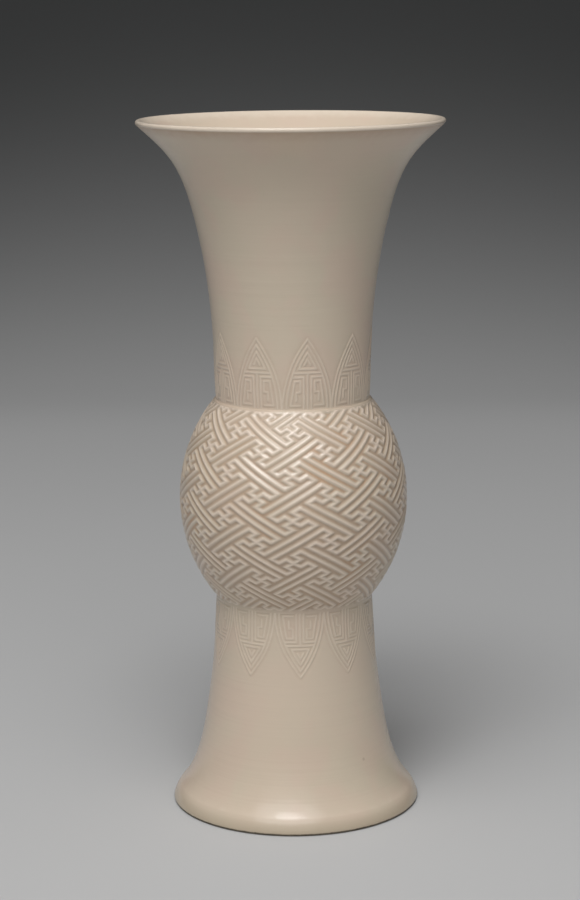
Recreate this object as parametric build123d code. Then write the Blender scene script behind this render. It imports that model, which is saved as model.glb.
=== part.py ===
from build123d import *
from math import atan2, cos, degrees, radians, sin, sqrt
import os

# A porcelain vase in the gu shape, thrown in sections that are luted together with slip.
# Millimetres, +Z up, front towards -Y, the standing plane at z = 0 and the axis on Z.

# Heights of the three thrown sections, without the slip seams between them
foot_height = 84.0
bulb_height = 77.4
neck_height = 107.8

# Neck: outer radii, heights above its own lower end
neck_base_radius = 30.2
neck_waist_radius = 32.35
neck_waist_height = 43.0
neck_middle_radius = 37.9
neck_middle_height = 73.0
neck_throat_radius = 46.5
neck_throat_height = 93.6
neck_wall = 3.2

# Lip: a half-round edge that leans out from the upright
mouth_radius = 59.15
lip_slope = 47.0
lip_wall = 2.0

# Bulb: outer radius over the crest of its carving, and how far its ends stand out past the neck and the foot
bulb_radius = 44.6
bulb_neck_step = 0.75
bulb_foot_step = 0.3
bulb_wall = 5.2

# Fret: a layer in the bulb's wall that is bedded on slip, with channels cut through it down to the wall
fret_depth = 0.75
fret_bed = 0.1
fret_rim = 0.8
bulb_edge = 0.6

# Fret pattern: repeats round the bulb, rows of cells above its middle, a channel's share of a grid step
fret_repeats = 10
fret_rows = 5
channel_share = 0.44
parting_touch = 1e-5

# Foot: outer radii, heights above the standing plane, slopes from the upright
foot_top_radius = 30.65
foot_top_slope = 3.0
shin_radius = 34.4
shin_height = 42.0
ankle_radius = 39.6
ankle_height = 18.0
foot_wall = 5.0
foot_radius = 48.9

# Foot edge: below a crease, where the flare ends
foot_edge_radius = 46.3
foot_edge_height = 6.2
foot_edge_slope = 42.5
foot_edge_bulge = 0.25

# Foot ring: the bare flat that the vase stands on
ring_round = 1.2
ring_width = 3.6

# Base: a disc pushed up inside the foot against a ledge
base_recess = 7.0
base_thickness = 5.0
base_ledge = 2.6
seat_wall = 3.0

# Slip seams: a tongue on the upper section sits in a rebate of the lower one
lute_gap = 0.4
tongue_depth = 2.0
tongue_shoulder = 1.8
tongue_wall = 1.6
seam_land = 1.5

# Levels and radii that follow from the sizes above
bulb_bottom = foot_height + lute_gap
bulb_top = bulb_bottom + bulb_height
bulb_middle = bulb_bottom + bulb_height / 2
neck_bottom = bulb_top + lute_gap
lip_top = neck_bottom + neck_height
rebate_depth = tongue_depth + lute_gap
bulb_top_radius = neck_base_radius + bulb_neck_step
bulb_bottom_radius = foot_top_radius + bulb_foot_step
neck_tongue = neck_base_radius - tongue_shoulder
neck_bore = neck_tongue - tongue_wall
foot_tongue = foot_top_radius - tongue_shoulder
foot_bore = foot_tongue - tongue_wall
base_top = base_recess + base_thickness
seat_level = base_top + lute_gap
fret_bottom = bulb_bottom + bulb_edge
fret_top = bulb_top - bulb_edge


def turned(*edges, turn=360):
    return revolve(Plane.XZ * make_face(edges), Axis.Z, turn)


def within(outline, point, wall):
    # The point a wall's thickness in from a point of an outline that runs upwards
    along = outline.tangent_at(point)
    return point[0] - wall * along.Y, point[1] + wall * along.X


def radius_at(outline, level):
    # The radius of an outline that runs upwards, found by halving
    low = 0.0
    high = 1.0
    for _ in range(40):
        middle = (low + high) / 2
        if (outline @ middle).Y < level:
            low = middle
        else:
            high = middle
    return (outline @ low).X


def tongue_edge(joint, outer_radius, tongue_radius, bore_start):
    # Lower end of an upper section: a shoulder outside, a tongue inside
    return Polyline(
        (outer_radius, joint + lute_gap),
        (tongue_radius, joint + lute_gap),
        (tongue_radius, joint - tongue_depth),
        (tongue_radius - tongue_wall, joint - tongue_depth),
        bore_start,
    )


def rebate_edge(joint, outer_radius, tongue_radius, bore_start):
    # Upper end of a lower section: a rim outside, a rebate inside
    return Polyline(
        (outer_radius, joint),
        (tongue_radius + lute_gap, joint),
        (tongue_radius + lute_gap, joint - rebate_depth),
        (tongue_radius - tongue_wall, joint - rebate_depth),
        bore_start,
    )


def seam_ring(joint, outer_radius, tongue_radius):
    # The slip that fills the stepped gap between a tongue and its rebate
    return turned(
        Polyline(
            (tongue_radius - tongue_wall, joint - rebate_depth),
            (tongue_radius + lute_gap, joint - rebate_depth),
            (tongue_radius + lute_gap, joint),
            (outer_radius, joint),
            (outer_radius, joint + lute_gap),
            (tongue_radius, joint + lute_gap),
            (tongue_radius, joint - tongue_depth),
            (tongue_radius - tongue_wall, joint - tongue_depth),
            close=True,
        )
    )


# Neck
lip_lean = radians(lip_slope)
lip_along = Vector(sin(lip_lean), cos(lip_lean))
lip_across = Vector(cos(lip_lean), -sin(lip_lean)) * lip_wall / 2
lip_centre = Vector(mouth_radius - lip_wall / 2, lip_top - lip_wall / 2)
neck_waist = (neck_waist_radius, neck_bottom + neck_waist_height)
neck_middle = (neck_middle_radius, neck_bottom + neck_middle_height)
neck_throat = (neck_throat_radius, neck_bottom + neck_throat_height)
neck_bore_start = (neck_bore, neck_bottom + seam_land)
neck_outline = Spline(
    (neck_base_radius, neck_bottom),
    neck_waist,
    neck_middle,
    neck_throat,
    lip_centre + lip_across,
    tangents=[(0, 1), lip_along],
)
neck = turned(
    neck_outline,
    CenterArc(lip_centre, lip_wall / 2, -lip_slope, 180),
    Spline(
        neck_bore_start,
        within(neck_outline, neck_waist, neck_wall),
        within(neck_outline, neck_middle, neck_wall),
        within(neck_outline, neck_throat, neck_wall),
        lip_centre - lip_across,
        tangents=[(0, 1), lip_along],
    ),
    tongue_edge(bulb_top, neck_base_radius, neck_tongue, neck_bore_start),
)
neck_lute = seam_ring(bulb_top, neck_base_radius, neck_tongue)

# Bulb
bulb_bore_top = (neck_bore, bulb_top - rebate_depth - seam_land)
bulb_bore_bottom = (foot_bore, bulb_bottom + seam_land)
bulb_outline = ThreePointArc(
    (bulb_bottom_radius, bulb_bottom),
    (bulb_radius, bulb_middle),
    (bulb_top_radius, bulb_top),
)
bulb_hub = bulb_outline.arc_center


def on_bulb(level, depth):
    # A point of the bulb's section at a level, some depth under its outline
    return bulb_hub.X + sqrt((bulb_outline.radius - depth) ** 2 - (level - bulb_hub.Y) ** 2), level


def bulb_arc(bottom, top, depth):
    return ThreePointArc(on_bulb(bottom, depth), on_bulb((bottom + top) / 2, depth), on_bulb(top, depth))


bed_depth = fret_depth + fret_bed
bulb = turned(
    bulb_arc(bulb_bottom, fret_bottom, 0),
    Line(on_bulb(fret_bottom, 0), on_bulb(fret_bottom, bed_depth)),
    bulb_arc(fret_bottom, fret_top, bed_depth),
    Line(on_bulb(fret_top, bed_depth), on_bulb(fret_top, 0)),
    bulb_arc(fret_top, bulb_top, 0),
    rebate_edge(bulb_top, bulb_top_radius, neck_tongue, bulb_bore_top),
    ThreePointArc(bulb_bore_top, (bulb_radius - bulb_wall, bulb_middle), bulb_bore_bottom),
    tongue_edge(foot_height, bulb_bottom_radius, foot_tongue, bulb_bore_bottom),
)
foot_lute = seam_ring(foot_height, foot_top_radius, foot_tongue)

# Fret: cells of five grid steps, each with an H of channels that lies along one of two slants
cell_steps = 5
repeat_turn = 360 / fret_repeats
step_turn = radians(repeat_turn / (2 * cell_steps))
lowest_lean = atan2(bulb_bottom - bulb_hub.Y, bulb_bottom_radius - bulb_hub.X)
highest_lean = atan2(bulb_top - bulb_hub.Y, bulb_top_radius - bulb_hub.X)
step_lean = (highest_lean - lowest_lean) / (2 * cell_steps * fret_rows)
half_channel = channel_share / 2
bar_steps = cell_steps - 1
arm_steps = bar_steps - 1
key_steps = arm_steps - 1
bar_corners = [
    (-bar_steps, -half_channel),
    (bar_steps, -half_channel),
    (bar_steps, half_channel),
    (-bar_steps, half_channel),
]
arm_corners = [
    (half_channel, -arm_steps - half_channel),
    (half_channel, arm_steps + half_channel),
    (-half_channel, arm_steps + half_channel),
    (-half_channel, key_steps + half_channel),
    (-half_channel - 1, key_steps + half_channel),
    (-half_channel - 1, key_steps - half_channel),
    (-half_channel, key_steps - half_channel),
    (-half_channel, half_channel - key_steps),
    (-half_channel - 1, half_channel - key_steps),
    (-half_channel - 1, -key_steps - half_channel),
    (-half_channel, -key_steps - half_channel),
    (-half_channel, -arm_steps - half_channel),
]


def fret_place(fall, rise):
    # A point in the middle of the fret's layer and its outward direction, from steps along the two slants
    turn = step_turn * (fall + rise)
    lean = (lowest_lean + highest_lean) / 2 + step_lean * (rise - fall)
    ray = Vector(sin(turn), -cos(turn))
    out = ray * cos(lean) + Vector(0, 0, sin(lean))
    point = ray * bulb_hub.X + Vector(0, 0, bulb_hub.Y) + out * (bulb_outline.radius - fret_depth / 2)
    return point, out


def fret_channel(fall, rise, corners):
    # A cutter for one straight channel with its pockets, square to the bulb at its own middle
    origin, out = fret_place(fall, rise)
    flat = Plane(origin, z_dir=out)
    spots = [flat.to_local_coords(fret_place(fall + f, rise + r)[0]) for f, r in corners]
    sag = max(-spot.Z for spot in spots)
    outline = Polyline(*[(spot.X, spot.Y) for spot in spots], close=True)
    return flat * Pos(0, 0, -sag - fret_depth) * extrude(make_face(outline), sag + 2 * fret_depth)


def fret_cell(row):
    # The channels of an H, which lies along the falling slant in one row and the rising slant in the next
    lying = row % 2 == 0
    fall = cell_steps * (lying - row) / 2
    rise = cell_steps * (lying + row) / 2
    if lying:
        return [
            fret_channel(fall, rise, bar_corners),
            fret_channel(fall + bar_steps, rise, arm_corners),
            fret_channel(fall - bar_steps, rise, [(-f, -r) for f, r in arm_corners]),
        ]
    return [
        fret_channel(fall, rise, [(r, f) for f, r in bar_corners]),
        fret_channel(fall, rise + bar_steps, [(r, f) for f, r in arm_corners]),
        fret_channel(fall, rise - bar_steps, [(-r, -f) for f, r in arm_corners]),
    ]


fret_window = Pos(0, 0, fret_bottom + fret_rim) * extrude(
    Circle(2 * bulb_radius),
    fret_top - fret_bottom - 2 * fret_rim,
)
fret_cutters = ShapeList()
for row in range(-fret_rows, fret_rows + 1):
    for cutter in fret_cell(row):
        inside = cutter & fret_window
        if inside:
            fret_cutters += inside.solids()

# One repeat, parted from the next where no corner of a channel lies, then copied round and closed to a band
parting = step_turn * (arm_steps + half_channel)
parting_planes = [Vector(cos(turn), sin(turn)) for turn in (parting, parting + radians(repeat_turn))]
fret_repeat = Rot(0, 0, degrees(parting) - 90) * turned(
    bulb_arc(fret_bottom, fret_top, 0),
    Line(on_bulb(fret_top, 0), on_bulb(fret_top, fret_depth)),
    bulb_arc(fret_bottom, fret_top, fret_depth),
    Line(on_bulb(fret_bottom, fret_depth), on_bulb(fret_bottom, 0)),
    turn=repeat_turn,
)
fret_repeat -= [Rot(0, 0, repeat_turn * copy) * cutter for copy in (-1, 0, 1, 2) for cutter in fret_cutters]
fret_faces = [
    face
    for face in fret_repeat.faces()
    if all(abs(face.center().dot(across)) > parting_touch for across in parting_planes)
]
fret_band = Solid(
    Shell([Rot(0, 0, repeat_turn * copy) * face for copy in range(fret_repeats) for face in fret_faces])
)

# Foot
edge_lean = radians(foot_edge_slope)
edge_top = (foot_edge_radius, foot_edge_height)
top_lean = radians(foot_top_slope)
shin = (shin_radius, shin_height)
foot_bore_top = (foot_bore, foot_height - rebate_depth - seam_land)
foot_outline = Spline(
    edge_top,
    (ankle_radius, ankle_height),
    shin,
    (foot_top_radius, foot_height),
    tangents=[(-sin(edge_lean), cos(edge_lean)), (-sin(top_lean), cos(top_lean))],
)
ring_outer = foot_radius - ring_round
seat_radius = radius_at(foot_outline, seat_level) - seat_wall
base_radius = seat_radius - lute_gap
ledge_radius = base_radius - base_ledge
foot = turned(
    foot_outline,
    SagittaArc((foot_radius, ring_round), edge_top, -foot_edge_bulge),
    CenterArc((ring_outer, ring_round), ring_round, -90, 90),
    Polyline(
        (ring_outer, 0),
        (ring_outer - ring_width, 0),
        (seat_radius, base_recess),
        (seat_radius, seat_level),
        (ledge_radius, seat_level),
    ),
    Spline((ledge_radius, seat_level), within(foot_outline, shin, foot_wall), foot_bore_top),
    rebate_edge(foot_height, foot_top_radius, foot_tongue, foot_bore_top),
)

# Base
base = Pos(0, 0, base_recess) * extrude(Circle(base_radius), base_thickness)
base_lute = turned(
    Polyline(
        (base_radius, base_recess),
        (seat_radius, base_recess),
        (seat_radius, seat_level),
        (ledge_radius, seat_level),
        (ledge_radius, base_top),
        (base_radius, base_top),
        close=True,
    )
)

os.makedirs("parts", exist_ok=True)
nodes = {
    "neck": neck,
    "neck_lute": neck_lute,
    "bulb": bulb,
    "fret_band": fret_band,
    "foot_lute": foot_lute,
    "foot": foot,
    "base_lute": base_lute,
    "base": base,
}
for name, shape in nodes.items():
    export_step(shape, f"parts/{name}.step", write_pcurves=False)
    print(name, shape.bounding_box().size)
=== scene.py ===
import bpy
import math
import numpy as np
from mathutils import Matrix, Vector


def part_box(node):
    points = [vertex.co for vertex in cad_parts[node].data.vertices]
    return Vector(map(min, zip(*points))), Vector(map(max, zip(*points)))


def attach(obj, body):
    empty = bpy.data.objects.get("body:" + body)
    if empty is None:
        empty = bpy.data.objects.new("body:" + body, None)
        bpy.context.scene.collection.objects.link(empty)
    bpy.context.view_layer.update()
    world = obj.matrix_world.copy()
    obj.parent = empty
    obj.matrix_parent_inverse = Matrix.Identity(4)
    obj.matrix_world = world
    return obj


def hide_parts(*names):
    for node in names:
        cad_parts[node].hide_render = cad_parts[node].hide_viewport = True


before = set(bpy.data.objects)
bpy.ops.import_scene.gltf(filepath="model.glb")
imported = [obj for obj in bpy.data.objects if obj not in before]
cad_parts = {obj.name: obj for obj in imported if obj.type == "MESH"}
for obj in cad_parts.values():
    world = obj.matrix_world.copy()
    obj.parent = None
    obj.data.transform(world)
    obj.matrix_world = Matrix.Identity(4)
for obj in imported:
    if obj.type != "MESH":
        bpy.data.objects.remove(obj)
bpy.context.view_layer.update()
print("frame loaded:", ", ".join(sorted(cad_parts)))

mm = 0.001
hair = 0.01 * mm      # room for rounding where a wall ends
fullTurn = 2 * math.pi
wallDepth = 0.4       # glaze depth on a plain wall: 0 is thin on a crest, 1 is pooled in a groove, where its darker colour is partly painted shade
boreDepth = 0.45      # and inside


# Levels and radii of the thrown sections, from the frame

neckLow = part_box("neck_lute")[1].z             # where the neck's outer wall starts, above its seam
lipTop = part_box("neck")[1].z
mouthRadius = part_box("neck")[1].x
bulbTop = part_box("bulb")[1].z
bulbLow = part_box("foot_lute")[1].z
bulbRadius = max(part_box("fret_band")[1][:2])   # over the crest of the fret
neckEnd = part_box("neck_lute")[1].x
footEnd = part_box("foot_lute")[1].x
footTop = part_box("foot")[1].z
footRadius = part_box("foot")[1].x
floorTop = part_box("base")[1].z
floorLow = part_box("base")[0].z
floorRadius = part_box("base")[1].x
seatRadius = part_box("base_lute")[1].x
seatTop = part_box("base_lute")[1].z


def wallOf(node, side, low, high, gap=1.2 * mm, leastFacing=0.3):
    # (level, radius) points up the outer (side 1) or inner (side -1) wall of a turned CAD node
    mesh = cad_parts[node].data
    places = np.empty(len(mesh.vertices) * 3)
    normals = np.empty(len(mesh.vertices) * 3, np.float32)
    mesh.vertices.foreach_get("co", places)
    mesh.vertices.foreach_get("normal", normals)
    x, y, z = places.reshape(-1, 3).T
    radius = np.hypot(x, y)
    facing = (normals[0::3] * x + normals[1::3] * y) / np.maximum(radius, mm)
    keep = (facing * side > leastFacing) & (z > low) & (z < high)
    points = []
    for level, reach in sorted(zip(z[keep], radius[keep])):
        if not points or level - points[-1][0] > gap:
            points.append((level, reach))
    return np.array(points)


bulbEnd = wallOf("bulb", 1, bulbTop - 0.5 * mm, bulbTop + hair, gap=0)[-1, 1]   # radius of its upper rim


def radiusAt(wall, levels):
    # smooth cubic through a wall's points
    level, radius = wall.T
    slope = np.gradient(radius, level)
    i = np.clip(np.searchsorted(level, levels) - 1, 0, len(level) - 2)
    span = level[i + 1] - level[i]
    t = (levels - level[i]) / span
    rise = radius[i + 1] - radius[i]
    first = slope[i] * span - rise
    last = rise - slope[i + 1] * span
    return radius[i] + rise * t + t * (1 - t) * (first * (1 - t) + last * t)


def wander(u, v, size, seed, waves=9, mostTurns=6, calm=4):
    # soft unevenness of hand work, about -1 to 1, that closes round the turn u
    draw = np.random.default_rng(seed)
    total = np.zeros(np.broadcast(u, v).shape)
    for _ in range(waves):
        turns = draw.integers(-mostTurns, mostTurns + 1)
        total += np.sin(turns * u + draw.uniform(-1, 1) * v / size + draw.uniform(0, fullTurn))
    return total / calm


def eased(t):
    return t * t * (3 - 2 * t)


def evenAngles(count):
    return np.arange(count) * fullTurn / count


def row(radius, level, depth, angles):
    # a ring of points and the glaze's depth there; angle 0 is the front, towards -Y, and runs towards +X
    points = np.empty((len(angles), 3))
    points[:, 0] = radius * np.sin(angles)
    points[:, 1] = -radius * np.cos(angles)
    points[:, 2] = level
    return points, np.broadcast_to(depth, angles.shape)


def stitch(faces, start, count, nextStart, nextCount):
    # faces between two rings, one of which may have a whole number of times more points
    few = min(count, nextCount)
    a, b = count // few, nextCount // few
    for k in range(few):
        lower = [start + (k * a + s) % count for s in range(a + 1)]
        upper = [nextStart + (k * b + s) % nextCount for s in range(b, -1, -1)]
        faces.append(lower + upper)


def turnedMesh(name, rows, disc=False):
    # a closed skin through rows: the last one is joined to the first, or both are filled for a disc
    rings, depths = zip(*rows)
    starts = np.cumsum([0] + [len(r) for r in rings]).tolist()
    faces = []
    for i, r in enumerate(rings[:-1] if disc else rings):
        j = (i + 1) % len(rings)
        stitch(faces, starts[i], len(r), starts[j], len(rings[j]))
    if disc:
        faces.append(list(range(len(rings[0])))[::-1])
        faces.append(list(range(starts[-2], starts[-1])))
    return piece(name, np.concatenate(rings), faces, np.concatenate(depths))


def piece(name, points, faces, depth):
    mesh = bpy.data.meshes.new(name)
    mesh.from_pydata(points.tolist(), [], faces)
    mesh.shade_smooth()
    mesh.attributes.new("glazeDepth", "FLOAT", "POINT").data.foreach_set("value", depth.astype(np.float32))
    made = bpy.data.objects.new(name, mesh)
    bpy.context.scene.collection.objects.link(made)
    return made


# Shader maths

class Wire:
    def __init__(self, tree, socket=None):
        self.tree = tree
        self.socket = socket

    def node(self, kind, settings=None, sockets=None, out=0):
        made = self.tree.nodes.new(kind)
        for name, value in (settings or {}).items():
            setattr(made, name, value)
        for name, value in (sockets or {}).items():
            if isinstance(value, Wire):
                self.tree.links.new(value.socket, made.inputs[name])
            else:
                made.inputs[name].default_value = value
        return Wire(self.tree, made.outputs[out] if made.outputs else None)

    def maths(self, operation, a, b):
        return self.node("ShaderNodeMath", {"operation": operation}, {0: a, 1: b})

    def __add__(self, other): return self.maths("ADD", self, other)
    def __radd__(self, other): return self.maths("ADD", other, self)
    def __sub__(self, other): return self.maths("SUBTRACT", self, other)
    def __rsub__(self, other): return self.maths("SUBTRACT", other, self)
    def __mul__(self, other): return self.maths("MULTIPLY", self, other)
    def __rmul__(self, other): return self.maths("MULTIPLY", other, self)

    def span(self, low, high):   # 0 to 1 between two values, eased
        sockets = {"Value": self, "From Min": low, "From Max": high}
        return self.node("ShaderNodeMapRange", {"interpolation_type": "SMOOTHSTEP"}, sockets)

    def towards(self, first, second):   # this value mixes two colours
        sockets = {"Factor": self, 6: first, 7: second}
        return self.node("ShaderNodeMix", {"data_type": "RGBA"}, sockets, out=2)


def srgb(red, green, blue):
    def linear(c):
        c /= 255
        return c / 12.92 if c <= 0.04045 else ((c + 0.055) / 1.055) ** 2.4
    return linear(red), linear(green), linear(blue), 1


ivory = {
    "warm": srgb(217, 199, 179), "cool": srgb(213, 199, 178), "cloudScale": 24, "cloudSpan": (0.3, 0.7),
    "pink": srgb(218, 195, 177), "blush": 0.5,
    "blushScale": 55.2, "blushBend": 0.4, "blushSpan": (0.42, 0.68),
    "thin": srgb(229, 214, 196), "thinSpan": (0.0, 0.3),   # glaze depths between which the thin glaze fades
    # pooled glaze colour, partly the glaze's own and partly painted shade in grooves and hollows
    "poolAndShade": srgb(192, 165, 142), "deepSpan": (0.45, 1.0), "poolShadeStrength": 0.8,
    "poolUneven": 0.2, "flowScale": 260,
    "deepRust": srgb(188, 155, 128), "rustScale": 48, "rustSpan": (0.56, 0.8),
    "speck": srgb(122, 96, 74), "speckStrength": 0.5,
    "speckScale": 150, "speckSize": (0.06, 0.13), "speckChoice": (0.9, 0.94),
    # olive tint with painted shade over the foot's lower edge
    "oliveShade": srgb(186, 172, 150), "edgeShadeTop": -0.9, "edgeShadeStrength": 0.85,
    # bare ring's clay, painted dark as the contact shadow under the foot's edge
    "shadedClay": srgb(128, 118, 101), "shadedClayDark": srgb(98, 90, 77), "clayScale": 900, "claySpan": (0.3, 0.7),
    "bareTop": -1,   # bare clay below this level
    "wipeScale": 420, "wipeUneven": 0.6 * mm, "wipeSoft": 0.2 * mm,
    "roughness": 0.19, "roughUneven": 0.08, "roughScale": 60, "clayRoughness": 0.8,
    "poolDull": 0.08, "dullSpan": (0.4, 1.0), "ior": 1.45, "coat": 0.05, "coatRoughness": 0.12,
    "turning": 0.6, "turningScale": 330, "ripple": 0.5, "rippleScale": 150, "grain": 0.25, "grainScale": 2600,
    "bump": 0.25, "bumpHigh": 0.6 * mm,
}
fretGlaze = {
    # the fret's pooled colour also paints the shade in its grooves
    **ivory, "thin": srgb(236, 218, 200), "poolAndShade": srgb(197, 173, 149), "deepRust": srgb(202, 165, 132),
    "poolShadeStrength": 1.0, "roughness": 0.34, "ior": 1.52, "coat": 0.55, "coatRoughness": 0.24,
    "turning": 0.0, "ripple": 0.7,
}
# on the foot: painted shade over the edge below 7 mm, bare clay below 1 mm
footGlaze = {**ivory, "bareTop": 1.0 * mm, "edgeShadeTop": 7.0 * mm}
floorGlaze = {**ivory, "roughness": 0.3}


def glaze(name, look):
    material = bpy.data.materials.new(name)
    material.use_nodes = True
    material.node_tree.nodes.clear()
    start = Wire(material.node_tree)
    place = start.node("ShaderNodeTexCoord", out="Object")
    level = start.node("ShaderNodeSeparateXYZ", sockets={"Vector": place}, out="Z")
    depth = start.node("ShaderNodeAttribute", {"attribute_name": "glazeDepth"}, out="Fac")

    def noise(scale, detail=2.0, bend=0.0):
        sockets = {"Vector": place, "Scale": scale, "Detail": detail, "Distortion": bend}
        return start.node("ShaderNodeTexNoise", sockets=sockets)

    def uneven(scale, detail=2.0):   # noise on both sides of 0
        return noise(scale, detail) - 0.5

    # clouds and blushes, thin glaze on the crests, pooled glaze with some rust in the grooves, darkened past
    # the glaze's own colour as painted shade
    clouds = noise(look["cloudScale"], 3).span(*look["cloudSpan"])
    blush = noise(look["blushScale"], bend=look["blushBend"]).span(*look["blushSpan"])
    rust = noise(look["rustScale"]).span(*look["rustSpan"])
    pooled = depth + uneven(look["flowScale"], 3) * look["poolUneven"]
    colour = clouds.towards(look["warm"], look["cool"])
    colour = (blush * look["blush"]).towards(colour, look["pink"])
    colour = (1 - pooled.span(*look["thinSpan"])).towards(colour, look["thin"])
    poolShadeColour = rust.towards(look["poolAndShade"], look["deepRust"])
    colour = (pooled.span(*look["deepSpan"]) * look["poolShadeStrength"]).towards(colour, poolShadeColour)

    # a few iron specks under the glaze
    cells = {"Vector": place, "Scale": look["speckScale"]}
    inSpeck = 1 - start.node("ShaderNodeTexVoronoi", sockets=cells).span(*look["speckSize"])
    chosen = start.node("ShaderNodeTexVoronoi", sockets=cells, out="Color").span(*look["speckChoice"])
    colour = (inSpeck * chosen * look["speckStrength"]).towards(colour, look["speck"])

    # olive tint with painted shade that darkens the foot's edge towards its bottom, and bare clay where the
    # ring was wiped clean, painted dark as contact shadow
    edgeShade = 1 - level.span(look["bareTop"], look["edgeShadeTop"])
    colour = (edgeShade * look["edgeShadeStrength"]).towards(colour, look["oliveShade"])
    wiped = level + uneven(look["wipeScale"]) * look["wipeUneven"]
    bare = 1 - wiped.span(look["bareTop"] - look["wipeSoft"], look["bareTop"] + look["wipeSoft"])
    # the bare ring's clay colour is painted contact shadow
    shadedClay = noise(look["clayScale"], 4).span(*look["claySpan"]).towards(look["shadedClay"], look["shadedClayDark"])
    colour = bare.towards(colour, shadedClay)

    gloss = look["roughness"] + uneven(look["roughScale"], 3) * look["roughUneven"]
    gloss = gloss + pooled.span(*look["dullSpan"]) * look["poolDull"]
    gloss = gloss + bare * (look["clayRoughness"] - look["roughness"])

    # thrower's rings, glaze ripple and clay grain
    ringing = {"W": level, "Scale": look["turningScale"], "Detail": 2}
    turning = start.node("ShaderNodeTexNoise", {"noise_dimensions": "1D"}, ringing)
    height = turning * look["turning"] + noise(look["rippleScale"]) * look["ripple"]
    height = height + bare * noise(look["grainScale"], 3) * look["grain"]
    bump = start.node("ShaderNodeBump", {}, {
        "Strength": look["bump"], "Distance": look["bumpHigh"], "Height": height,
    })

    shader = start.node("ShaderNodeBsdfPrincipled", {}, {
        "Base Color": colour, "Roughness": gloss, "Normal": bump, "IOR": look["ior"],
        "Coat Weight": (1 - bare) * look["coat"], "Coat Roughness": look["coatRoughness"],
    })
    start.node("ShaderNodeOutputMaterial", {}, {"Surface": shader})
    return material


print("glaze recipe ready")


# Leaf bands on neck and foot

leafBand = {
    "count": 10, "height": 25.6 * mm, "taper": 2.05,
    "line": 0.75 * mm, "pitch": 1.45 * mm, "inset": 2.4 * mm,   # width and step of lines, step between tips
    "linePoints": 26, "lineCrowd": 0.8,
    "barLevel": 13.4 * mm, "tipLevel": 14.85 * mm, "bracketTop": 11.95 * mm,
    "keyLow": 1.8 * mm, "keyTop": 10.5 * mm, "keyIn": 2.75 * mm, "keyTurn": 6.6 * mm,
    "keyOut": 4.3 * mm, "keyEnd": 3.6 * mm,
    "raised": 0.09 * mm, "sunk": 0.09 * mm, "poolShadeColour": 1.7 * mm, "softness": 0.34 * mm,
    "poolDepth": 0.24, "lineThin": 0.25,   # more glaze beside a line, less on it
    "waver": 0.1 * mm, "waverSize": 3 * mm,
}


def leafStrokes(halfWidth):
    # the lines of half a leaf, as (across, up) points
    b = leafBand

    def lancet(step, level):   # half width of a leaf line, step 0 outside, 1 inside, 2 and 3 at the tip
        width = halfWidth - step * b["pitch"]
        height = b["height"] - step * b["inset"]
        return width * (1 - np.clip(level / height, 0, 1) ** b["taper"])

    strokes = []
    for step, low in ((0, 0.0), (1, 0.0), (2, b["tipLevel"]), (3, b["tipLevel"] + b["pitch"])):
        rise = np.linspace(0, 1, b["linePoints"]) ** b["lineCrowd"]
        levels = low + (b["height"] - step * b["inset"] - low) * rise
        strokes.append(np.stack([lancet(step, levels), levels], 1))
    key = b["pitch"]
    strokes.append([(0, b["tipLevel"]), (lancet(2, b["tipLevel"]), b["tipLevel"])])
    strokes.append([(0, b["barLevel"]), (lancet(1, b["barLevel"]), b["barLevel"])])
    strokes.append([(0, 0), (0, b["barLevel"])])
    strokes.append([(0, b["line"] / 2), (halfWidth, b["line"] / 2)])
    strokes.append([(key, 0), (key, b["bracketTop"]), (lancet(1, b["bracketTop"]), b["bracketTop"])])
    strokes.append([
        (b["keyIn"], b["keyLow"]), (lancet(1, b["keyLow"]) - key, b["keyLow"]),
        (lancet(1, b["keyTop"]) - key, b["keyTop"]), (b["keyIn"], b["keyTop"]),
        (b["keyIn"], b["keyTurn"]), (b["keyOut"], b["keyTurn"]), (b["keyOut"], b["keyEnd"]),
    ])
    return [np.array(s, float) for s in strokes]


def strokeDistance(across, up, strokes):
    nearest = np.full(across.shape, 1.0)
    for stroke in strokes:
        for (ax, ay), (bx, by) in zip(stroke[:-1], stroke[1:]):
            dx, dy = bx - ax, by - ay
            t = np.clip(((across - ax) * dx + (up - ay) * dy) / (dx * dx + dy * dy), 0, 1)
            nearest = np.minimum(nearest, np.hypot(across - ax - t * dx, up - ay - t * dy))
    return nearest


def leafRelief(angles, heights, radius, look):
    # (height off the wall, glaze depth) of a band of leaves, heights measured from their roots
    b = leafBand
    share = fullTurn / b["count"]
    turn = angles - look["firstLeaf"]
    turn = turn - look["spread"] * np.sin(turn)
    turn = np.mod(turn + share / 2, share) - share / 2
    across, up = np.meshgrid(turn * radius, heights * b["height"] / look["leafHeight"])
    around, _ = np.meshgrid(angles, heights)
    across = across + b["waver"] * wander(around * 2, up, b["waverSize"], look["leafSeed"])
    up = up + b["waver"] * wander(around * 2, up, b["waverSize"], look["leafSeed"] + 1)
    strokes = leafStrokes(radius * math.sin(share / 2))
    beside = strokeDistance(np.abs(across), up, strokes) - b["line"] / 2
    line = eased(1 - np.clip(beside / b["softness"] + 0.5, 0, 1))
    sunk = eased(np.clip(1 - beside / b["poolShadeColour"], 0, 1) * (1 - line))
    return line * b["raised"] - sunk * b["sunk"], wallDepth + b["poolDepth"] * sunk - b["lineThin"] * line


# Neck: trumpet with ten standing leaves

neckLook = {
    "fineColumns": 800, "columns": 160, "leafRows": 100, "rows": 46, "lipRows": 12, "boreRows": 44,
    "crowd": 0.35, "boreCrowd": 0.5,   # rows stand closer near the lip
    "lipHalf": 1.0 * mm, "lipSlope": math.radians(47), "boreLow": 2 * mm,
    "firstLeaf": math.radians(10.8), "leafHeight": 27.4 * mm, "spread": math.radians(2), "leafSeed": 11,
    "unevenness": 0.06 * mm, "waveSize": 40 * mm, "waveSeed": 12, "waveStart": 4, "waveEnd": 6,
    "underLipPoolShade": 0.45, "underLipShare": 0.1,   # more glaze under the lip, darker partly as painted shade
    "lipThinHighlight": 0.0, "inLipDepth": 0.2, "inLipShare": 0.1,   # less on it, its paler colour partly painted highlight, and just inside
}


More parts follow.
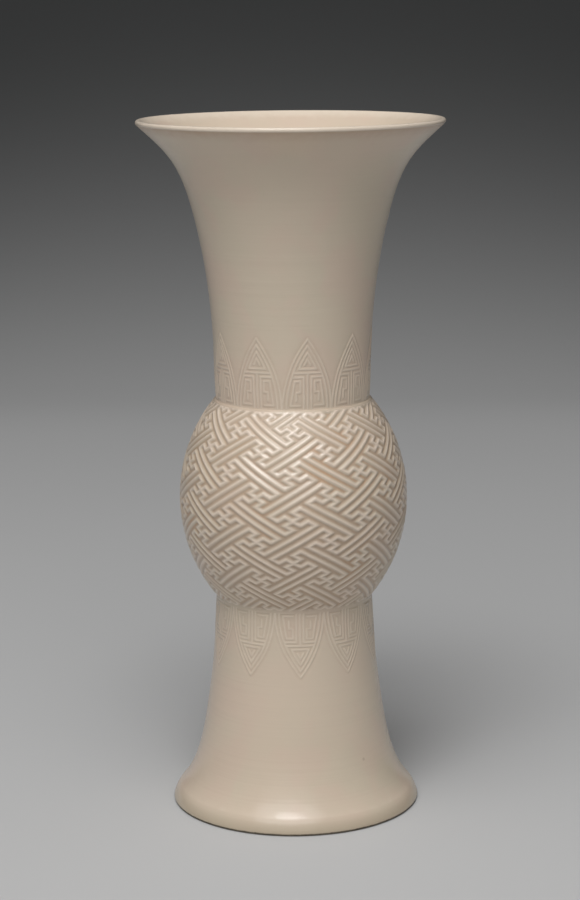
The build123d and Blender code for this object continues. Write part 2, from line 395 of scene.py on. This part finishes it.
def makeNeck(look):
    lipLevel = lipTop - look["lipHalf"]
    lipReach = mouthRadius - look["lipHalf"]
    lipRise = look["lipHalf"] * math.sin(look["lipSlope"])
    outer = wallOf("neck", 1, neckLow + 2 * hair, lipLevel - lipRise + 2 * hair)
    inner = wallOf("neck", -1, neckLow + look["boreLow"], lipLevel + lipRise - 2 * hair)
    fine, plain = evenAngles(look["fineColumns"]), evenAngles(look["columns"])
    rows = []

    # band of leaves
    bandTop = look["leafHeight"] + leafBand["pitch"]
    heights = np.linspace(0, bandTop, look["leafRows"])
    root = float(radiusAt(outer, neckLow + look["leafHeight"] / 3))
    lift, depth = leafRelief(fine, heights, root, look)
    for k, height in enumerate(heights):
        rows.append(row(radiusAt(outer, neckLow + height) + lift[k], neckLow + height, depth[k], fine))

    # plain wall up to the lip
    low, top = neckLow + bandTop, outer[-1, 0]
    for t in np.linspace(0, 1, look["rows"] + 1)[1:]:
        level = low + (top - low) * ((1 + look["crowd"]) * t - look["crowd"] * t * t)
        fade = min(1, look["waveStart"] * t) * min(1, look["waveEnd"] * (1 - t))
        wave = look["unevenness"] * wander(plain, level, look["waveSize"], look["waveSeed"]) * fade
        # glaze gathered under the lip, its darker colour partly painted shade
        gatheredAndShaded = look["underLipPoolShade"] * max(0, t - 1 + look["underLipShare"]) / look["underLipShare"]
        rows.append(row(radiusAt(outer, level) + wave, level, wallDepth + gatheredAndShaded, plain))

    # lip, thin-glazed and paler as painted highlight, and down the bore
    for turn in np.linspace(-look["lipSlope"], math.pi - look["lipSlope"], look["lipRows"])[1:]:
        reach = lipReach + look["lipHalf"] * math.cos(turn)
        rows.append(row(reach, lipLevel + look["lipHalf"] * math.sin(turn), look["lipThinHighlight"], plain))
    boreTop, boreLow = inner[-1, 0], inner[0, 0]
    for t in np.linspace(0, 1, look["boreRows"] + 1)[1:]:
        level = boreTop + (boreLow - boreTop) * ((1 - look["boreCrowd"]) * t + look["boreCrowd"] * t * t)
        depth = look["inLipDepth"] + (boreDepth - look["inLipDepth"]) * min(1, t / look["inLipShare"])
        rows.append(row(radiusAt(inner, level), level, depth, plain))
    rows.append(row(inner[0, 1], neckLow, boreDepth, plain))
    return turnedMesh("neckSection", rows)


# Bulb: key fret of bars on a skew grid, cut into the wall

fret = {
    "around": 50, "high": 50,   # grid units round the bulb along one slant, and half units from seam to seam
    "repeat": 10, "centres": [(0, 0), (5, 5)],   # grid units in a repeat, and where arms cross in it
    "throughArm": [(0, 0), (0, 1), (-1, 1), (-1, 2), (6, 2), (6, 1), (5, 1), (5, 0)],
    "buttArm": [(0, 0), (-1, 0), (-1, -1), (-2, -1), (-2, 6), (-1, 6), (-1, 5), (0, 5)],
    "lines": [0, 0.12, 0.36, 0.5, 0.64, 0.88],   # grid lines in each unit: crest, edge, groove, ...
    "profile": ([0, 0.12, 0.24, 0.36, 0.5], [1.0, 0.92, 0.5, 0.08, 0.0]),   # from a bar's middle, height
    "square": 4,   # power that squares off the ends and corners of the bars
    "nudge": 1e-6,   # keeps a place on a grid line in the unit that starts there
    "relief": 0.57 * mm, "fade": 0.8, "uneven": 0.1, "unevenSize": 0.1, "unevenSeed": 23,
    "waver": 0.05, "waverSize": 0.12, "turnSeed": 21, "liftSeed": 22,
    "sway": math.radians(1.0), "swayStart": math.radians(10), "sways": 3,   # drift of the hand-laid grid
    "stretch": 0.025, "sag": 0.01,
    "crestDepth": 0.08, "rimShare": 0.5, "runOffSheen": 0.2,   # glaze on bars, at rims, lost from the shoulder, which also paints the bulb's top paler as painted sheen
    "boreRows": 20, "boreLow": 3 * mm, "boreHigh": 6 * mm,
}


def fretBars():
    # which unit steps of the repeat carry a bar, along each slant
    repeat = fret["repeat"]
    down, up = np.zeros((2, repeat, repeat), bool)
    for centre in fret["centres"]:
        for sign in (1, -1):
            for arm in (fret["throughArm"], fret["buttArm"]):
                for (a0, b0), (a1, b1) in zip(arm[:-1], arm[1:]):
                    a, b = centre[0] + sign * a0, centre[1] + sign * b0
                    da, db = np.sign(a1 - a0) * sign, np.sign(b1 - b0) * sign
                    for _ in range(abs(a1 - a0) + abs(b1 - b0)):
                        if da:
                            down[min(a, a + da) % repeat, b % repeat] = True
                        else:
                            up[a % repeat, min(b, b + db) % repeat] = True
                        a, b = a + da, b + db
    return down, up


def fretHeight(a, b):
    # bar height, 0 to 1, at grid places a and b
    repeat, square = fret["repeat"], fret["square"]
    down, up = fretBars()
    knot = down | up | np.roll(down, 1, 0) | np.roll(up, 1, 1)
    wholeA, wholeB = (np.floor(place + fret["nudge"]).astype(int) for place in (a, b))
    fa, fb = a - wholeA, b - wholeB
    nearest = np.full(a.shape, 1.0)

    def nearer(bars, sideA, sideB, far):
        there = bars[(wholeA + sideA) % repeat, (wholeB + sideB) % repeat]
        return np.where(there, np.minimum(nearest, far), nearest)

    for sideA, farA in ((0, fa), (1, 1 - fa)):
        nearest = nearer(up, sideA, 0, farA)
        for sideB, farB in ((0, fb), (1, 1 - fb)):
            nearest = nearer(knot, sideA, sideB, (farA ** square + farB ** square) ** (1 / square))
    for sideB, farB in ((0, fb), (1, 1 - fb)):
        nearest = nearer(down, 0, sideB, farB)
    return np.interp(nearest, *fret["profile"])


def bulbCurve():
    # middle level and radius of the outline's arc, and half the angle that it spans
    half = (bulbTop - bulbLow) / 2
    sag = bulbRadius - bulbEnd
    arc = (half * half + sag * sag) / (2 * sag)
    return (bulbTop + bulbLow) / 2, arc, math.asin(half / arc)


def makeBulb(look):
    middle, arc, halfSpan = bulbCurve()
    lines = np.array(look["lines"])
    perUnit = len(lines)
    around, high = look["around"] * perUnit, look["high"] * perUnit
    half = high // 2
    i, j = np.meshgrid(np.arange(around), np.arange(high + 1), indexing="ij")
    k = i + j - half            # line number along the rising slant
    a = i // perUnit + lines[i % perUnit]
    b = k // perUnit + lines[k % perUnit]
    bar = fretHeight(a, b)
    turn = (a + b) * fullTurn / (2 * look["around"])
    lift = 2 * halfSpan * (b - a) / look["high"]
    share = lift / halfSpan     # -1 at the foot's seam, 1 at the neck's
    edge = eased(np.clip((1 - np.abs(share)) * look["high"] / 2 / look["fade"], 0, 1))

    # the hand-laid grid drifts and wavers between its ends
    turnUnit, liftUnit = fullTurn / (2 * look["around"]), 2 * halfSpan / look["high"]
    waver = look["waver"] * edge
    drift = look["sway"] * np.sin(look["sways"] * (turn - look["swayStart"])) * (1 - share ** 2)
    rise = halfSpan * (look["stretch"] * share - look["sag"]) * (1 - share ** 2)
    placedTurn = turn + drift + turnUnit * waver * wander(turn, lift, look["waverSize"], look["turnSeed"])
    placedLift = lift + rise + liftUnit * waver * wander(turn, lift, look["waverSize"], look["liftSeed"])
    uneven = look["uneven"] * wander(turn * 2, lift, look["unevenSize"], look["unevenSeed"])
    cut = look["relief"] * (1 + uneven) * (1 - bar) * edge
    reach = bulbRadius - arc + (arc - cut) * np.cos(placedLift)
    level = middle + (arc - cut) * np.sin(placedLift)
    skin = np.stack([reach * np.sin(placedTurn), -reach * np.cos(placedTurn), level], -1).reshape(-1, 3)

    # thinner glaze towards the shoulder, partly painted sheen that makes the top paler
    runOffSheen = look["runOffSheen"] * np.clip(share, 0, 1) ** 2
    pooled = (1 - bar) * (look["rimShare"] + (1 - look["rimShare"]) * edge)
    depth = (look["crestDepth"] + (1 - look["crestDepth"]) * pooled - runOffSheen).ravel()

    # four-cornered faces between the grid lines, halved where a seam cuts across
    wide = high + 1
    faces = []

    def spot(line, place):   # line along the falling slant, place along the rising one
        return (line % around) * wide + place - line + half

    for line in range(around):
        for place in range(line - half, line + half + 1):
            corners = [spot(line, place)]
            if place - line > -half:
                corners.append(spot(line + 1, place))
            corners.append(spot(line + 1, place + 1))
            if place - line < half:
                corners.append(spot(line, place + 1))
            faces.append(corners)

    # plain bore behind the carving
    bore = wallOf("bulb", -1, bulbLow + look["boreLow"], bulbTop - look["boreHigh"])
    topAngles, lowAngles = turn[:, high], turn[:, 0]
    rows = []
    for t in np.linspace(0, 1, look["boreRows"]):
        height = bulbTop + (bulbLow - bulbTop) * t
        reachIn = radiusAt(bore, np.clip(height, bore[0, 0], bore[-1, 0]))
        rows.append(row(reachIn, height, boreDepth, topAngles + (lowAngles - topAngles) * t))
    rings, depths = zip(*rows)
    loops = [[n * wide + high for n in range(around)]]
    for start in range(len(skin), len(skin) + len(rings) * around, around):
        loops.append(list(range(start, start + around)))
    loops.append([n * wide for n in range(around)])
    for upper, lower in zip(loops[:-1], loops[1:]):
        for n in range(around):
            m = (n + 1) % around
            faces.append([upper[n], upper[m], lower[m], lower[n]])
    return piece("fretBulb", np.concatenate([skin, *rings]), faces, np.concatenate([depth, *depths]))


# Foot: flare with ten hanging leaves, a rounded edge and a bare ring to stand on

footLook = {
    "fineColumns": 800, "columns": 160, "leafRows": 100, "rows": 40, "edgeRows": 10, "boreRows": 30,
    "recessRows": 4, "roundRows": 8, "crowd": 0.55,   # rows stand closer near the edge
    "ringRound": 1.2 * mm, "ringWidth": 3.6 * mm, "crease": 6.2 * mm, "creaseRound": 0.2 * mm,
    "ringEdge": [(-0.3 * mm, 0.4 * mm), (-0.05 * mm, 0.1 * mm), (0.3 * mm, 0)],   # its inner edge: out, up
    "ringFlat": 0.2 * mm, "rimGap": 0.3 * mm, "wallGap": 0.5 * mm, "boreLow": 1 * mm, "boreHigh": 4.5 * mm,
    "firstLeaf": math.radians(3.8), "leafHeight": 25.6 * mm, "spread": 0.0, "leafSeed": 31,
    "unevenness": 0.06 * mm, "waveSize": 40 * mm, "waveSeed": 32, "waveStart": 5, "waveEnd": 6,
    "cornerDepth": 0.6, "ringDepth": 0.3, "roundDepth": 0.35, "creaseDepth": 0.25, "ledgeDepth": 0.5,
}


def makeFoot(look):
    crease = look["crease"]
    rim = wallOf("foot", 1, look["ringRound"] - 5 * hair, crease + 5 * hair, look["rimGap"])
    outer = wallOf("foot", 1, crease - 5 * hair, footTop - hair, look["wallGap"])
    inner = wallOf("foot", -1, seatTop + look["boreLow"], footTop - look["boreHigh"])
    fine, plain = evenAngles(look["fineColumns"]), evenAngles(look["columns"])
    rows = []

    def add(radius, level, depth, angles=plain):
        rows.append(row(radius, level, depth, angles))

    # recess, ring and rounded edge
    ringOut = footRadius - look["ringRound"]
    ringIn = ringOut - look["ringWidth"]
    add(seatRadius, floorLow, look["cornerDepth"])
    for t in np.linspace(0, 1, look["recessRows"] + 2)[1:-1]:
        add(seatRadius + (ringIn - seatRadius) * t, floorLow * (1 - t), boreDepth)
    for out, up in look["ringEdge"]:
        add(ringIn + out, up, look["ringDepth"])
    add(ringOut - look["ringFlat"], 0, look["ringDepth"])
    for turn in np.linspace(-math.pi / 2, 0, look["roundRows"]):
        reach = ringOut + look["ringRound"] * math.cos(turn)
        add(reach, look["ringRound"] * (1 + math.sin(turn)), look["roundDepth"])
    for level in np.linspace(look["ringRound"], crease - look["creaseRound"], look["edgeRows"] + 1)[1:]:
        add(radiusAt(rim, level), level, look["ringDepth"])
    add(radiusAt(outer, crease), crease, look["creaseDepth"])

    # flare, then the band of leaves
    bandTop = look["leafHeight"] + leafBand["pitch"]
    low, top = crease + look["creaseRound"], footTop - bandTop
    for t in np.linspace(0, 1, look["rows"] + 1)[:-1]:
        level = low + (top - low) * ((1 - look["crowd"]) * t + look["crowd"] * t * t)
        fade = min(1, look["waveStart"] * t, look["waveEnd"] * (1 - t))
        wave = look["unevenness"] * wander(plain, level, look["waveSize"], look["waveSeed"]) * fade
        depth = look["creaseDepth"] + (wallDepth - look["creaseDepth"]) * min(1, look["waveStart"] * t)
        add(radiusAt(outer, level) + wave, level, depth)
    heights = np.linspace(bandTop, 0, look["leafRows"])
    root = float(radiusAt(outer, footTop - look["leafHeight"] / 3))
    lift, depth = leafRelief(fine, heights, root, look)
    for k, height in enumerate(heights):
        add(radiusAt(outer, footTop - height) + lift[k], footTop - height, depth[k], fine)

    # bore, down to the seat of the floor disc
    add(inner[-1, 1], footTop, boreDepth)
    for level in np.linspace(inner[-1, 0], inner[0, 0], look["boreRows"]):
        add(radiusAt(inner, level), level, boreDepth)
    add(inner[0, 1], seatTop, look["ledgeDepth"])
    add(seatRadius, seatTop, look["ledgeDepth"])
    return turnedMesh("footSection", rows)


# Slip seams: soft fillets in the corners between the sections

seams = {
    "columns": 320, "rows": 11,
    "bend": (0.75, 0.4),   # where a fillet bends, in steps out from the wall and away from the bulb
    "underBulb": 0.05 * mm, "offWall": 0.02 * mm, "depth": 0.55, "insideDepth": 0.6,
    "wave": 0.05 * mm, "waveSize": 2 * mm, "waveSeed": 41,
    "neckSeam": {"onBulb": 0.15 * mm, "onWall": 0.7 * mm, "inside": 28.6 * mm},
    "footSeam": {"onBulb": 0.3 * mm, "onWall": 1.5 * mm, "inside": 28.9 * mm},
}


def makeSeam(name, joint, wallSide, wallRadius):
    # fillet from the bulb's end to the wall above (wallSide 1) or below (-1) it
    look = {**seams, **seams[name]}
    angles = evenAngles(look["columns"])
    middle, arc, _ = bulbCurve()
    step = bulbEnd - wallRadius
    out, away = look["bend"]
    level = joint - wallSide * look["onBulb"]
    bulbReach = bulbRadius - arc + math.sqrt(arc ** 2 - (level - middle) ** 2)
    onBulb = np.array([bulbReach - look["underBulb"], level])
    corner = np.array([wallRadius + out * step, joint + wallSide * away * step])
    onWall = np.array([wallRadius + look["offWall"], joint + wallSide * look["onWall"]])
    rows = []
    for t in np.linspace(0, 1, look["rows"]):
        reach, level = onBulb * (1 - t) ** 2 + 2 * corner * t * (1 - t) + onWall * t * t
        wave = look["wave"] * wander(angles, t * mm, look["waveSize"], look["waveSeed"]) * t * (1 - t)
        rows.append(row(reach + wave, level, look["depth"], angles))
    for level in (onWall[1], onBulb[1]):
        rows.append(row(look["inside"], level, look["insideDepth"], angles))
    if wallSide < 0:
        rows.reverse()
    return turnedMesh(name, rows)


# Floor disc and its seam, seen in the mouth and under the foot

floorLook = {
    "columns": 128, "rows": 44, "edgeRows": 9, "edge": 0.6 * mm, "eye": 0.4 * mm, "sink": 0.15 * mm,
    "dome": 0.5 * mm, "ridges": 0.07 * mm, "ridgeStep": 3.4 * mm, "ridgeStart": 5 * mm,
    "depth": 0.5, "ridgeThin": 0.25, "edgeDepth": 0.6,
}


def makeFloor(look):
    angles = evenAngles(look["columns"])
    low, top = floorLow + look["sink"], floorTop - look["sink"]
    reaches = np.linspace(look["eye"], floorRadius - look["edge"], look["rows"])
    rows = []

    def side(level, facing, reaches):   # hollowed, with the thrower's spiral
        for reach in reaches:
            spiral = np.sin(fullTurn * reach / look["ridgeStep"] - angles)
            hollow = look["dome"] * (1 - (reach / floorRadius) ** 2)
            lift = facing * (look["ridges"] * spiral * min(1, reach / look["ridgeStart"]) - hollow)
            rows.append(row(reach, level + lift, look["depth"] - look["ridgeThin"] * spiral, angles))

    side(low, -1, reaches)
    for turn in np.linspace(0, math.pi, look["edgeRows"])[1:-1]:
        reach = floorRadius - look["edge"] * (1 - math.sin(turn))
        level = (low + top) / 2 - (top - low) / 2 * math.cos(turn)
        rows.append(row(reach, level, look["edgeDepth"], angles))
    side(top, 1, reaches[::-1])
    return turnedMesh("floorDisc", rows, disc=True)


floorSeamLook = {
    "columns": 160, "rows": 8, "depth": 0.8, "insideDepth": 0.7,
    "onDisc": 1.2 * mm, "overDisc": 0.1 * mm, "intoWall": 0.4 * mm, "downWall": 0.8 * mm,   # recess fillet
    "ledge": 2.5 * mm, "ledgeSink": 0.2 * mm, "discSink": 0.3 * mm,   # slip over the disc's edge
}


def makeFloorSeam(look):
    angles = evenAngles(look["columns"])
    inner, outer = floorRadius - look["onDisc"], seatRadius + look["intoWall"]
    top, low = floorLow + look["overDisc"], floorLow - look["downWall"]
    ledge = floorRadius - look["ledge"]
    rows = []
    for turn in np.linspace(0, math.pi / 2, look["rows"]):
        reach = inner + (outer - inner) * math.sin(turn)
        rows.append(row(reach, low + (top - low) * math.cos(turn), look["depth"], angles))
    rows.append(row(seatRadius, floorLow, look["depth"], angles))
    over = [
        (seatRadius, seatTop), (ledge, seatTop),
        (ledge, floorTop - look["ledgeSink"]), (inner, floorTop - look["discSink"]),
    ]
    for reach, level in over:
        rows.append(row(reach, level, look["insideDepth"], angles))
    return turnedMesh("floorSeam", rows)


neck = makeNeck(neckLook)
bulb = makeBulb(fret)
foot = makeFoot(footLook)
neckSeam = makeSeam("neckSeam", bulbTop, 1, neckEnd)
footSeam = makeSeam("footSeam", bulbLow, -1, footEnd)
floorDisc = makeFloor(floorLook)
floorSeam = makeFloorSeam(floorSeamLook)
for made in (neck, bulb, foot, neckSeam, footSeam, floorDisc, floorSeam):
    print("made", made.name, len(made.data.polygons), "faces")


# Finishes

def dress(made, slot, look, *nodes):
    made.data.materials.append(glaze(made.name + "Glaze", look))
    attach(made, "root")
    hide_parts(*nodes)


dress(neck, "glaze", ivory, "neck")
dress(bulb, "carved_glaze", fretGlaze, "bulb", "fret_band")
dress(foot, "glaze", footGlaze, "foot")
dress(neckSeam, "slip", ivory, "neck_lute")
dress(footSeam, "slip", ivory, "foot_lute")
dress(floorDisc, "glaze", floorGlaze, "base")
dress(floorSeam, "slip", ivory, "base_lute")
print("glazes applied")


# Studio

studio = {
    "floor": srgb(198, 198, 198), "farPaperShade": srgb(65, 66, 66), "paperRoughness": 0.9,
    "fadeStart": 0.77, "fadeEnd": 1.55,   # where the paper's grey darkens, away from the vase, as painted shade of the lamps' fall-off
    "floorSize": 3.0, "sweepBack": 1.6, "sweepRound": 0.7, "sweepHigh": 2.2, "sweepRows": 25,
    "lamps": [   # width, watts, turn and rise of each disc
        (0.72, 8.0, -10, 60), (1.9, 17.5, -13, 58), (1.2, 4.2, -12, 75), (2.0, 4.9, -9, 38),
    ],
    "lampFar": 1.9, "lampAim": 0.13,
    "ambient": 0.14, "beyond": srgb(44, 45, 45),   # light of the room, and what shows past the paper
}


def makeSweep(look):
    # paper floor that curves up into a backdrop
    half, back, bend = look["floorSize"], look["sweepBack"], look["sweepRound"]
    section = [(-half, 0.0), (back - bend, 0.0)]
    for turn in np.linspace(0, math.pi / 2, look["sweepRows"])[1:]:
        section.append((back - bend * (1 - math.sin(turn)), bend * (1 - math.cos(turn))))
    section.append((back, look["sweepHigh"]))
    points = [(side * half, y, z) for y, z in section for side in (-1, 1)]
    faces = [(2 * n, 2 * n + 1, 2 * n + 3, 2 * n + 2) for n in range(len(section) - 1)]
    mesh = bpy.data.meshes.new("paperSweep")
    mesh.from_pydata(points, [], faces)
    mesh.shade_smooth()
    sweep = bpy.data.objects.new("paperSweep", mesh)
    bpy.context.scene.collection.objects.link(sweep)
    paper = bpy.data.materials.new("paper")
    paper.use_nodes = True
    paper.node_tree.nodes.clear()
    start = Wire(paper.node_tree)
    place = start.node("ShaderNodeTexCoord", out="Object")
    away = start.node("ShaderNodeVectorMath", {"operation": "LENGTH"}, {0: place}, out="Value")
    # paper painted darker with distance, painted shade of the light falling off
    grey = away.span(look["fadeStart"], look["fadeEnd"]).towards(look["floor"], look["farPaperShade"])
    dull = {"Base Color": grey, "Roughness": look["paperRoughness"]}
    shader = start.node("ShaderNodeBsdfPrincipled", {}, dull)
    start.node("ShaderNodeOutputMaterial", {}, {"Surface": shader})
    mesh.materials.append(paper)


def makeLights(look):
    aim = np.array([0, 0, look["lampAim"]])
    for width, power, *angles in look["lamps"]:
        turn, rise = np.radians(angles)
        back = np.array([math.cos(rise) * math.sin(turn), -math.cos(rise) * math.cos(turn), math.sin(rise)])
        lamp = bpy.data.lights.new("softbox", "AREA")
        lamp.shape = "DISK"
        lamp.size = width
        lamp.energy = power
        softbox = bpy.data.objects.new("softbox", lamp)
        softbox.location = aim + back * look["lampFar"]
        softbox.rotation_euler = (math.pi / 2 - rise, 0, turn)
        bpy.context.scene.collection.objects.link(softbox)


def makeRoom(look):
    world = bpy.data.worlds.new("studio")
    world.use_nodes = True
    world.node_tree.nodes.clear()
    start = Wire(world.node_tree)

    def ray(kind):
        return start.node("ShaderNodeLightPath", out=kind)

    seen = ray("Is Camera Ray") + ray("Is Glossy Ray") + ray("Is Transmission Ray")
    room = seen.towards((look["ambient"],) * 3 + (1,), look["beyond"])
    sky = start.node("ShaderNodeBackground", {}, {"Color": room})
    start.node("ShaderNodeOutputWorld", {}, {"Surface": sky})
    bpy.context.scene.world = world


viewpoint = {
    "place": (-0.001215, -0.89086, 0.31994), "downward": 11.340, "roll": -0.4817,
    "lens": 92.842, "sensor": 36,
}


def makeCamera(look):
    seen = bpy.data.cameras.new("camera")
    seen.sensor_width = look["sensor"]
    seen.lens = look["lens"]
    camera = bpy.data.objects.new("camera", seen)
    tilt = Matrix.Rotation(math.radians(90 - look["downward"]), 4, "X")
    roll = Matrix.Rotation(math.radians(look["roll"]), 4, "Z")
    camera.matrix_world = Matrix.Translation(look["place"]) @ tilt @ roll
    bpy.context.scene.collection.objects.link(camera)
    bpy.context.scene.camera = camera


makeSweep(studio)
makeLights(studio)
makeRoom(studio)
makeCamera(viewpoint)
bpy.context.scene.view_settings.view_transform = "Standard"
print("studio ready")
